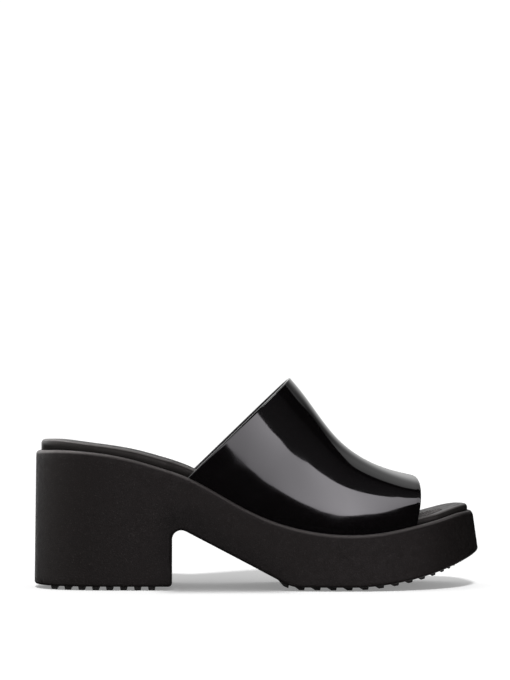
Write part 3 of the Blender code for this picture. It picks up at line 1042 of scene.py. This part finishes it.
@dataclass
class Upper:
    """Glossy band over the foot, with a slanting throat and an open toe."""

    shape: SoleShape
    wall: float = 0.0022
    inset: float = 0.0026
    throat_from_heel: float = 0.0856
    throat_rise: float = 0.0555
    throat_reach: float = 0.0574
    toe_opening: float = 0.0363
    front_height: float = 0.0260
    front_lean: float = 0.0021
    front_bulge: float = 0.0012
    instep_shift: float = 0.003
    sunk: float = 0.0017
    edge_radius: float = 0.0006
    edge_steps: int = 7
    flare: float = 0.00066
    flare_reach: float = 0.030
    flare_limit: float = 1.2
    crest_flare_loss: float = 0.85
    crest_power: int = 8
    edge_trim: float = 0.012
    rows: int = 150
    columns: int = 300
    cut_rounds: int = 28
    cut_margin: float = 0.012
    nudge: float = 1e-5

    def __post_init__(self) -> None:
        """Works out the throat, the front and the base lines."""
        s = self.shape
        self.throat_x = self.throat_from_heel - s.half
        self.apex_x = self.throat_x + self.throat_reach
        self.front_x = s.half - self.toe_opening
        self.throat_z = float(s.rim_height(self.throat_x))
        self.front_z = float(s.rim_height(self.front_x))

        def inset_at(turn: Array) -> Array:
            """Returns the inset of the band's base."""
            return s.rim_inset(turn) + self.inset

        self.outer = s.side_curve(Side.OUTER, inset_at)
        self.inner = s.side_curve(Side.INNER, inset_at)
        self.throat_sine = math.sin(math.atan2(self.throat_rise, self.throat_reach))

    def crest_height(self, x: Array) -> Array:
        """Height of the crest line.

        Args:
            x: Length coordinates.

        Returns:
            The height at each.
        """
        share = (np.asarray(x, float) - self.apex_x) / (self.front_x - self.apex_x)
        low = self.front_z + self.front_height
        return low + (self.throat_z + self.throat_rise - low) * CREST_SHARE(share)

    def skin(self, x: Array, angle: Array) -> Array:
        """Point on the outside.

        Args:
            x: Length coordinate.
            angle: Angle about the foot from the outer base to the inner base.

        Returns:
            The points.
        """
        outer, inner = self.outer(x), self.inner(x)
        base = self.shape.rim_height(x) - self.sunk
        cos, sin = np.cos(angle), np.sin(angle)
        share = (x - self.throat_x) / (self.front_x - self.throat_x)
        y = (outer + inner) / 2 - (inner - outer) / 2 * cos * (1 + SIDE_FULLNESS(share) * sin**2)
        z = base + (self.crest_height(x) - base) * sin * (1 + TOP_FULLNESS(share) * cos**2)
        return np.stack([x, y + self.instep_shift * sin**2, z], axis=-1)

    def layer(self, x: Array, angle: Array, depth: float) -> Array:
        """Points under the outside, which flares a little at the throat.

        Args:
            x: Length coordinates.
            angle: Angles about the foot.
            depth: Depth under the outside.

        Returns:
            The points.
        """
        along = self.skin(x + self.nudge, angle) - self.skin(x - self.nudge, angle)
        across = self.skin(x, angle + self.nudge) - self.skin(x, angle - self.nudge)
        point = self.skin(x, angle)
        behind = x - self.cut_line(0.0, point[..., 2])
        near = np.clip(1 - behind * self.throat_sine / self.flare_reach, 0.0, self.flare_limit)
        kept = 1 - self.crest_flare_loss * np.sin(angle) ** self.crest_power
        flared = depth - self.flare * near**2 * kept
        return point - flared[..., None] * unit(np.cross(along, across))

    def cut_line(self, share: Array, z: Array) -> Array:
        """Length coordinate of a section, with the throat at 0 and the front at 1.

        Args:
            share: Share of the way from throat to front.
            z: Heights.

        Returns:
            The length coordinate at each height.
        """
        throat = self.throat_x + (z - self.throat_z) / self.throat_rise * self.throat_reach
        level = (z - self.front_z) / self.front_height
        front = self.front_x - self.front_lean * (1 - level) + self.front_bulge * 4 * level * (1 - level)
        return throat * (1 - share) + front * share

    def grid(self, shares: Array, depth: float) -> Array:
        """Rows of points round the foot.

        Args:
            shares: Share of the way from throat to front for each row.
            depth: Depth under the outside.

        Returns:
            Array of rows by columns by 3.
        """
        share, angle = np.meshgrid(shares, np.linspace(0, math.pi, self.columns + 1), indexing="ij")
        low = np.full(share.shape, self.throat_x - self.cut_margin)
        high = np.full(share.shape, self.front_x + self.cut_margin)
        for _ in range(self.cut_rounds):
            middle = (low + high) / 2
            point = self.layer(middle, angle, depth)
            ahead = point[..., 0] > self.cut_line(share, point[..., 2])
            high = np.where(ahead, middle, high)
            low = np.where(ahead, low, middle)
        return self.layer((low + high) / 2, angle, depth)

    def edge(self, outside: Array, beyond: Array, inside: Array) -> Array:
        """Rounded edge of the wall at a cut.

        Args:
            outside: Points of the outside at the cut.
            beyond: Points of the outside a little into the band.
            inside: Points of the inside at the cut.

        Returns:
            Rows of points from the outside to the inside.
        """
        normal = unit(outside - inside)
        away = outside - beyond
        for axis in (normal, unit(np.gradient(outside, axis=0))):
            away = away - np.sum(away * axis, axis=-1, keepdims=True) * axis
        away = unit(away)
        radius = self.edge_radius
        rows = []
        for a in np.linspace(0, math.pi / 2, self.edge_steps + 1):
            rows.append(outside - radius * (1 - math.sin(a)) * away - radius * (1 - math.cos(a)) * normal)
        for a in np.linspace(0, math.pi / 2, self.edge_steps + 1):
            rows.append(inside - radius * (1 - math.cos(a)) * away + radius * (1 - math.sin(a)) * normal)
        return np.array(rows)

    def build(self) -> Object:
        """Builds the band.

        Returns:
            The new band.
        """
        shares = np.concatenate([[0.0], np.linspace(self.edge_trim, 1 - self.edge_trim, self.rows), [1.0]])
        outside, inside = self.grid(shares, 0.0), self.grid(shares, self.wall)
        front = self.edge(outside[-1], outside[-2], inside[-1])
        throat = self.edge(outside[0], outside[1], inside[0])
        loop = np.concatenate([outside[1:-1], front, inside[-2:0:-1], throat[::-1]])
        points = np.transpose(loop, (1, 0, 2))
        count = points.shape[1]
        faces = [f[::-1] for f in loop_faces(points.shape[0], count)]
        last = (points.shape[0] - 1) * count
        rows = self.rows
        for start, flip in ((0, False), (last, True)):
            for i in range(rows - 1):
                opposite = rows + len(front) + (rows - 1 - i)
                face = (start + i, start + i + 1, start + opposite - 1, start + opposite)
                faces.append(face[::-1] if flip else face)
        upper = mesh_object("upper_band", points.reshape(-1, 3), faces)
        upper.data.materials.append(GlossFinish("gloss").material())
        upper.data.materials.append(LiningFinish("lining").material())
        inner_from = rows + len(front) // 2 + 1
        lining = np.zeros(len(upper.data.polygons), dtype=np.int32)
        for polygon in upper.data.polygons:
            columns = {v % count for v in polygon.vertices}
            if min(columns) >= inner_from and max(columns) < count - len(throat) // 2:
                lining[polygon.index] = 1
        upper.data.polygons.foreach_set("material_index", lining)
        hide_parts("upper")
        return upper


@dataclass
class Insole:
    """Foam footbed with a rounded raised edge, a dished top and rows of small nubs."""

    shape: SoleShape
    upper: Upper
    inset: float = 0.0029
    side_slack: float = 0.0009
    edge_radius: float = 0.0022
    heel_cup: float = 0.0040
    ball_dish: float = 0.0018
    tuck_near: float = 0.004
    tuck_far: float = 0.014
    spine_trim: float = 0.30
    sunk: float = 0.0017
    stations: int = 180
    arc_steps: int = 6
    # first loop of the raised edge's arc that gets painted sheen
    sheen_rows_from: int = 4
    dish_steps: int = 22
    dish_end: float = 0.04
    nub_pitch: float = 0.0028
    nub_row: float = 0.0023
    nub_sides: int = 8
    nub_radius: float = 0.00092
    nub_height: float = 0.00060
    # painted sheen on the nubs, which brightens their tops
    nub_painted_sheen: float = 1.0
    side_margin: float = 0.0060
    heel_margin: float = 0.0088
    toe_margin: float = 0.0125
    end_share: float = 0.8
    cast_height: float = 0.12

    def inset_at(self, x: Array) -> Array:
        """Inset from the rim, wider beside the band.

        Args:
            x: Length coordinates.

        Returns:
            The inset at each.
        """
        beside = self.upper.inset + self.upper.wall + self.side_slack
        from_throat = ease(x, self.upper.throat_x - self.tuck_far, self.upper.throat_x - self.tuck_near)
        to_front = ease(x, self.upper.front_x + self.tuck_near, self.upper.front_x + self.tuck_far)
        return self.inset + (beside - self.inset) * from_throat * (1 - to_front)

    def rise_at(self, x: Array) -> Array:
        """Returns the height of the edge over the rim."""
        return EDGE_RISE(self.shape.share(x))

    def loops(self) -> list[Array]:
        """Closed loops from the base up the edge and in over the dish.

        Returns:
            The points of each loop.
        """
        s = self.shape
        turns = np.linspace(0.0, 1.0, 2 * self.stations + 1)
        x = s.length_at(turns)
        inset, crest, radius = self.inset_at(x), self.rise_at(x), self.edge_radius
        flat = np.zeros(len(turns))
        loops = [s.rim_ring(turns, inset, flat - self.sunk)]
        for a in np.linspace(0, math.pi / 2, self.arc_steps + 1):
            rise = crest - radius * (1 - math.sin(a))
            loops.append(s.rim_ring(turns, inset + radius * (1 - math.cos(a)), rise))
        crown = loops[-1]
        mirror = np.roll(crown[::-1], 1, axis=0)
        spine_x = crown[:, 0] * (1 - self.spine_trim)
        spine_y = (crown[:, 1] + mirror[:, 1]) / 2
        behind = 1 - ease(crown[:, 0], self.upper.throat_x, self.upper.apex_x)
        depth = self.ball_dish + (self.heel_cup - self.ball_dish) * behind
        for share in np.linspace(1, self.dish_end, self.dish_steps)[1:]:
            flat_x = spine_x + (crown[:, 0] - spine_x) * share
            flat_y = spine_y + (crown[:, 1] - spine_y) * share
            z = s.rim_height(flat_x) + self.rise_at(flat_x) - depth * (1 - share**2)
            loops.append(np.column_stack([flat_x, flat_y, z]))
        return loops

    def nub_places(self, crown: Array) -> list[tuple[float, float]]:
        """Staggered places that keep away from the raised edge.

        Args:
            crown: Closed line along the top of the raised edge.

        Returns:
            The x and the y of each nub.
        """
        s = self.shape
        half_pitch = self.nub_pitch / 2
        steps = int(s.half / half_pitch)
        places = []
        for k in range(-steps + 1, steps):
            x = k * half_pitch
            turn = s.turn_of(x)
            margin = float(s.rim_inset(turn) + self.inset_at(x)) + self.side_margin
            away = self.heel_margin if x < 0 else self.toe_margin
            away *= float(ease(np.abs(x), self.upper.apex_x, s.half * self.end_share))
            first, last = (float(s.edge_line(turn, side, margin)[1]) / self.nub_row for side in Side)
            for row in range(math.ceil(first), int(last) + 1):
                y = row * self.nub_row
                clear = np.hypot(crown[:, 0] - x, crown[:, 1] - y).min() >= away
                if clear and (row + k) % 2 == 0:
                    places.append((x, y))
        return places

    def nubs(self, points: Array, faces: list, crown: Array) -> tuple[Array, list]:
        """Small round domes on the dish.

        Args:
            points: Vertices of the footbed.
            faces: Its faces.
            crown: Closed line along the top of the raised edge.

        Returns:
            Vertices and faces of all the nubs.
        """
        tree = BVHTree.FromPolygons([tuple(p) for p in points], faces)
        sides, rings = self.nub_sides, len(NUB_RINGS)
        turns = np.linspace(0, 2 * math.pi, sides, endpoint=False)
        top = (rings - 1) * sides
        pattern = loop_faces(rings, sides)
        pattern += [(top + i, top + (i + 1) % sides, rings * sides) for i in range(sides)]
        made, joined = [], []
        for x, y in self.nub_places(crown):
            hit, normal, _, _ = tree.ray_cast(Vector((x, y, self.cast_height)), Vector((0, 0, -1)))
            if hit is None:
                continue
            up = np.array(normal) * (1 if normal.z > 0 else -1)
            side = unit(np.cross(up, (0.0, 1.0, 0.0)))
            other = np.cross(up, side)
            joined += [tuple(len(made) + v for v in face) for face in pattern]
            for ring in NUB_RINGS:
                for a in turns:
                    offset = self.nub_radius * ring.wide * (math.cos(a) * side + math.sin(a) * other)
                    made.append(np.array(hit) + offset + self.nub_height * ring.high * up)
            made.append(np.array(hit) + self.nub_height * up)
        return np.array(made), joined

    def build(self) -> Object:
        """Builds the footbed.

        Returns:
            The new footbed.
        """
        loops = self.loops()
        count = len(loops[0])
        points = np.vstack(loops)
        faces = closed_faces(len(loops), count)
        bumps, more = self.nubs(points, faces, loops[self.arc_steps + 1])
        faces += [tuple(k + len(points) for k in face) for face in more]
        insole = mesh_object("insole_footbed", np.vstack([points, bumps]), faces)
        finish = FoamFinish(
            "footbed",
            colour=(0.0125, 0.0114, 0.0108),
            speck=(0.020, 0.0185, 0.0178),
            roughness=0.42,
            grain=1300.0,
            grain_height=0.00004,
            shine=0.26,
            # specular strength of the painted sheen on the crown rows and the nubs
            painted_sheen=1.3,
        )
        insole.data.materials.append(finish.material())
        # painted sheen: the raised edge's upper arc rows and every nub vertex get stronger specular, to
        # brighten their highlight
        paint_sheen_rows(insole, count, {k: 1.0 for k in range(self.sheen_rows_from, self.arc_steps + 2)})
        for item in list(insole.data.attributes["painted_sheen"].data)[len(points) :]:
            item.value = self.nub_painted_sheen
        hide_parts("insole")
        return insole


class Station(NamedTuple):
    """Directions of a panel's two edges, in degrees from the shoe, and its brightness at each.

    An azimuth of 0 lies towards the outer side, 90 towards the toe and 180 towards the inner side.
    """

    low_azimuth: float
    low_elevation: float
    low_glow: float
    high_azimuth: float
    high_elevation: float
    high_glow: float


@dataclass(frozen=True)
class Panel:
    """Curved light panel that shows only as a reflection."""

    name: str
    stations: tuple[Station, ...]
    strength: float
    tint: tuple = (1.0, 1.0, 1.0)
    centre: tuple = (0.04, -0.03, 0.07)
    distance: float = 1.6
    across: int = 8

    def point(self, azimuth: float, elevation: float) -> Array:
        """Returns the point in a direction."""
        return np.array(self.centre) + self.distance * direction(azimuth, elevation)

    def build(self) -> Object:
        """Builds the panel.

        Returns:
            The new panel.
        """
        points, glows = [], []
        for row in self.stations:
            low = self.point(row.low_azimuth, row.low_elevation)
            high = self.point(row.high_azimuth, row.high_elevation)
            for share in np.linspace(0, 1, self.across + 1):
                points.append(low * (1 - share) + high * share)
                glows.append(row.low_glow * (1 - share) + row.high_glow * share)
        count = self.across + 1
        faces = []
        for r in range(len(self.stations) - 1):
            for i in range(self.across):
                a = r * count + i
                faces.append((a, a + 1, a + count + 1, a + count))
        thing = mesh_object(self.name, np.array(points), faces)
        layer = thing.data.color_attributes.new("glow", "FLOAT_COLOR", "POINT")
        for item, glow in zip(layer.data, glows):
            item.color = (*(glow * part for part in self.tint), 1.0)
        paint = Paint(self.name)
        shade = paint.node("ShaderNodeAttribute", {"attribute_name": "glow"})
        thing.data.materials.append(paint.lamp(self.strength, shade.outputs["Color"]))
        hide(thing, "camera", "diffuse", "shadow")
        return thing


@dataclass
class Studio:
    """Pale glowing floor, white surround, one soft key light and the reflected panels."""

    shape: SoleShape
    panels: tuple[Panel, ...]
    ambient: float = 0.40
    floor_reach: float = 8.0
    backdrop: float = 1.05
    backdrop_radius: float = 12.0
    backdrop_sides: int = 24
    backdrop_rings: int = 12
    key_strength: float = 2.5
    key_spread: float = math.radians(7.0)
    key_azimuth: float = -2.0
    key_elevation: float = 41.0
    flag_distance: float = 0.15
    flag_share: float = 0.72
    flag_back: float = 0.004
    flag_front: float = 0.012

    def floor(self) -> Object:
        """Builds the floor.

        Returns:
            The new floor, which reflections don't see.
        """
        corners = np.array([(-1, -1, 0), (1, -1, 0), (1, 1, 0), (-1, 1, 0)]) * self.floor_reach
        floor = mesh_object("studio_floor", corners, [(0, 1, 2, 3)])
        floor.data.materials.append(FloorFinish("floor").material())
        hide(floor, "glossy")
        return floor

    def dome(self) -> Object:
        """Builds the white surround.

        Returns:
            The new dome, which only the camera sees.
        """
        sides, rings = self.backdrop_sides, self.backdrop_rings
        points = []
        for r in range(1, rings):
            for k in range(sides):
                a, e = 2 * math.pi * k / sides, math.pi * r / rings
                points.append((math.sin(e) * math.cos(a), math.sin(e) * math.sin(a), math.cos(e)))
        points += [(0.0, 0.0, 1.0), (0.0, 0.0, -1.0)]
        faces = loop_faces(rings - 1, sides)
        for k in range(sides):
            j = (k + 1) % sides
            faces.append((len(points) - 2, j, k))
            faces.append((len(points) - 1, (rings - 2) * sides + k, (rings - 2) * sides + j))
        dome = mesh_object("studio_surround", np.array(points) * self.backdrop_radius, faces)
        dome.data.materials.append(Paint("surround").lamp(self.backdrop))
        hide(dome, "diffuse", "glossy", "transmission", "shadow")
        return dome

    def surround_light(self) -> None:
        """Sets the even light from all sides."""
        world = bpy.data.worlds.new("ambient")
        bpy.context.scene.world = world
        world.use_nodes = True
        glow = world.node_tree.nodes["Background"]
        glow.inputs["Color"].default_value = (1.0, 1.0, 1.0, 1.0)
        glow.inputs["Strength"].default_value = self.ambient
        world.cycles_visibility.glossy = False

    def key_light(self, away: Vector) -> Object:
        """Adds the key light.

        Args:
            away: Direction towards it.

        Returns:
            The new light.
        """
        data = bpy.data.lights.new("key", "SUN")
        data.angle = self.key_spread
        data.energy = self.key_strength
        key = bpy.data.objects.new("key", data)
        key.location = away
        key.rotation_euler = (-away).to_track_quat("-Z", "Y").to_euler()
        hide(key, "camera", "glossy")
        bpy.context.collection.objects.link(key)
        return key

    def flag(self, away: Array) -> Object:
        """Card that keeps the key light out from under the arch.

        Args:
            away: Direction towards the key light.

        Returns:
            The new card, which neither camera nor reflections see.
        """
        s = self.shape
        side = -s.ball_width / 2
        reach = s.ball_width * self.flag_share
        back, front = s.breast_x - self.flag_back, s.breast_x + self.flag_front
        corners = ((back, 0.0), (back, reach), (front, reach), (s.ball_x, self.flag_front), (s.ball_x, 0.0))
        points = [np.array((x, side + y, 0.0)) + away * self.flag_distance for x, y in corners]
        card = mesh_object("studio_flag", np.array(points), [tuple(range(len(points)))])
        hide(card, "camera", "glossy", "diffuse")
        return card

    def build(self) -> None:
        """Adds the floor and all lights."""
        self.floor()
        self.dome()
        self.surround_light()
        away = direction(self.key_azimuth, self.key_elevation)
        self.key_light(Vector(away))
        self.flag(away)
        for panel in self.panels:
            panel.build()


@dataclass(frozen=True)
class StudioCamera:
    """Long lens a little above the floor, seen almost square from the outer side."""

    place: tuple = (-0.0454, -1.2992, 0.096)
    lens: float = 121.9
    yaw: float = math.radians(1.943)
    pitch: float = math.radians(1.88)
    far: float = 50.0

    def build(self) -> Object:
        """Adds the camera and makes it the scene's own.

        Returns:
            The new camera.
        """
        data = bpy.data.cameras.new("camera")
        data.lens = self.lens
        data.clip_end = self.far
        camera = bpy.data.objects.new("camera", data)
        camera.location = self.place
        camera.rotation_euler = (math.pi / 2 + self.pitch, 0.0, -self.yaw)
        bpy.context.collection.objects.link(camera)
        bpy.context.scene.camera = camera
        return camera


SIDE_PANEL: tuple[Station, ...] = (
    Station(-26.0, 5.4, 0.16, -22.0, 17.0, 0.12),
    Station(-15.0, 4.0, 0.40, -12.0, 18.0, 0.24),
    Station(-10.5, 2.5, 0.64, -8.0, 18.6, 0.44),
    Station(-6.0, 1.9, 0.80, -4.0, 19.0, 0.60),
    Station(-1.0, 2.0, 0.96, 0.0, 19.0, 0.76),
    Station(4.0, 2.6, 0.98, 4.0, 19.6, 0.88),
    Station(10.0, 3.3, 0.86, 9.0, 20.0, 0.86),
    Station(20.0, 3.2, 0.66, 20.0, 19.0, 0.76),
    Station(33.0, 4.0, 0.48, 33.0, 19.3, 0.58),
    Station(50.0, 5.0, 0.36, 50.0, 20.0, 0.36),
)

HALO_PANEL: tuple[Station, ...] = (
    Station(-40.0, 16.0, 0.2, -40.0, 42.0, 0.0),
    Station(-20.0, 16.0, 0.7, -20.0, 44.0, 0.1),
    Station(0.0, 17.0, 1.0, 0.0, 46.0, 0.2),
    Station(25.0, 17.0, 1.2, 25.0, 46.0, 0.3),
    Station(55.0, 17.0, 1.2, 55.0, 46.0, 0.3),
)

OVERHEAD_PANEL: tuple[Station, ...] = (
    Station(178.0, -9.0, 0.70, 215.0, -9.0, 0.70),
    Station(173.5, 0.0, 0.50, 215.0, 0.0, 0.90),
    Station(169.0, 4.0, 0.30, 215.0, 7.0, 1.20),
    Station(160.0, 9.0, 0.20, 215.0, 20.0, 1.40),
    Station(150.0, 16.5, 0.11, 218.0, 32.0, 1.45),
    Station(143.0, 24.0, 0.04, 220.0, 40.0, 1.45),
    Station(135.0, 30.5, 0.02, 223.0, 46.0, 1.30),
    Station(127.0, 36.0, 0.04, 226.0, 50.0, 1.20),
    Station(118.0, 42.0, 0.14, 229.0, 54.0, 1.15),
    Station(109.0, 47.0, 0.26, 231.0, 57.0, 1.10),
    Station(100.0, 51.0, 0.34, 234.0, 60.0, 1.05),
    Station(90.0, 54.5, 0.38, 238.0, 62.0, 1.05),
    Station(70.0, 57.0, 0.40, 252.0, 66.0, 1.15),
    Station(48.0, 55.0, 0.40, 285.0, 66.0, 1.15),
    Station(20.0, 58.0, 0.40, 300.0, 70.0, 1.00),
)

TOP_PANEL: tuple[Station, ...] = (
    Station(-63.0, 56.0, 1.0, -132.0, 48.0, 1.0),
    Station(-39.0, 71.0, 1.0, -156.0, 60.0, 1.0),
    Station(0.0, 76.0, 0.9, -190.0, 66.0, 0.9),
)

LEFT_PANEL: tuple[Station, ...] = (
    Station(-30.0, 16.0, 0.8, -38.0, 34.0, 0.8),
    Station(-60.0, 2.0, 0.8, -60.0, 44.0, 0.8),
    Station(-95.0, 2.0, 1.0, -95.0, 50.0, 1.0),
    Station(-140.0, 2.0, 1.0, -140.0, 45.0, 1.0),
)

INNER_PANEL: tuple[Station, ...] = (
    Station(100.0, -52.0, 0.5, 104.0, -16.0, 0.8),
    Station(135.0, -52.0, 0.8, 135.0, -14.0, 1.0),
    Station(170.0, -52.0, 0.6, 168.0, -16.0, 0.8),
)

PANELS: tuple[Panel, ...] = (
    Panel("side_panel", SIDE_PANEL, 3.4, (1.0, 0.965, 1.02)),
    Panel("halo_panel", HALO_PANEL, 0.06, (1.0, 0.97, 1.03)),
    Panel("overhead_panel", OVERHEAD_PANEL, 1.3),
    Panel("top_panel", TOP_PANEL, 4.0),
    Panel("left_panel", LEFT_PANEL, 2.0),
    Panel("inner_panel", INNER_PANEL, 1.2),
)


def main() -> None:
    """Builds the shoe, the studio and the camera."""
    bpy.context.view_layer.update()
    shape = SoleShape()
    upper = Upper(shape)
    builders = (
        Sole(shape),
        HeelTread(
            shape,
            "heel_tread_rubber",
            "heel_tread",
            back=0.0053 - shape.half,
            front=shape.breast_x - 0.005,
            inset=0.005,
            ramp=0.1,
        ),
        ForefootTread(
            shape,
            "forefoot_tread_rubber",
            "forefoot_tread",
            back=shape.ball_x - 0.0102,
            front=shape.half - 0.0118,
            inset=0.0115,
            ramp=0.5,
        ),
        Insole(shape, upper),
        upper,
    )
    for builder in builders:
        piece = builder.build()
        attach(piece, "root")
        log.info("%s: %d faces", piece.name, len(piece.data.polygons))
    Studio(shape, PANELS).build()
    StudioCamera().build()
    bpy.context.scene.view_settings.view_transform = "Standard"


if __name__ == "__main__":
    main()
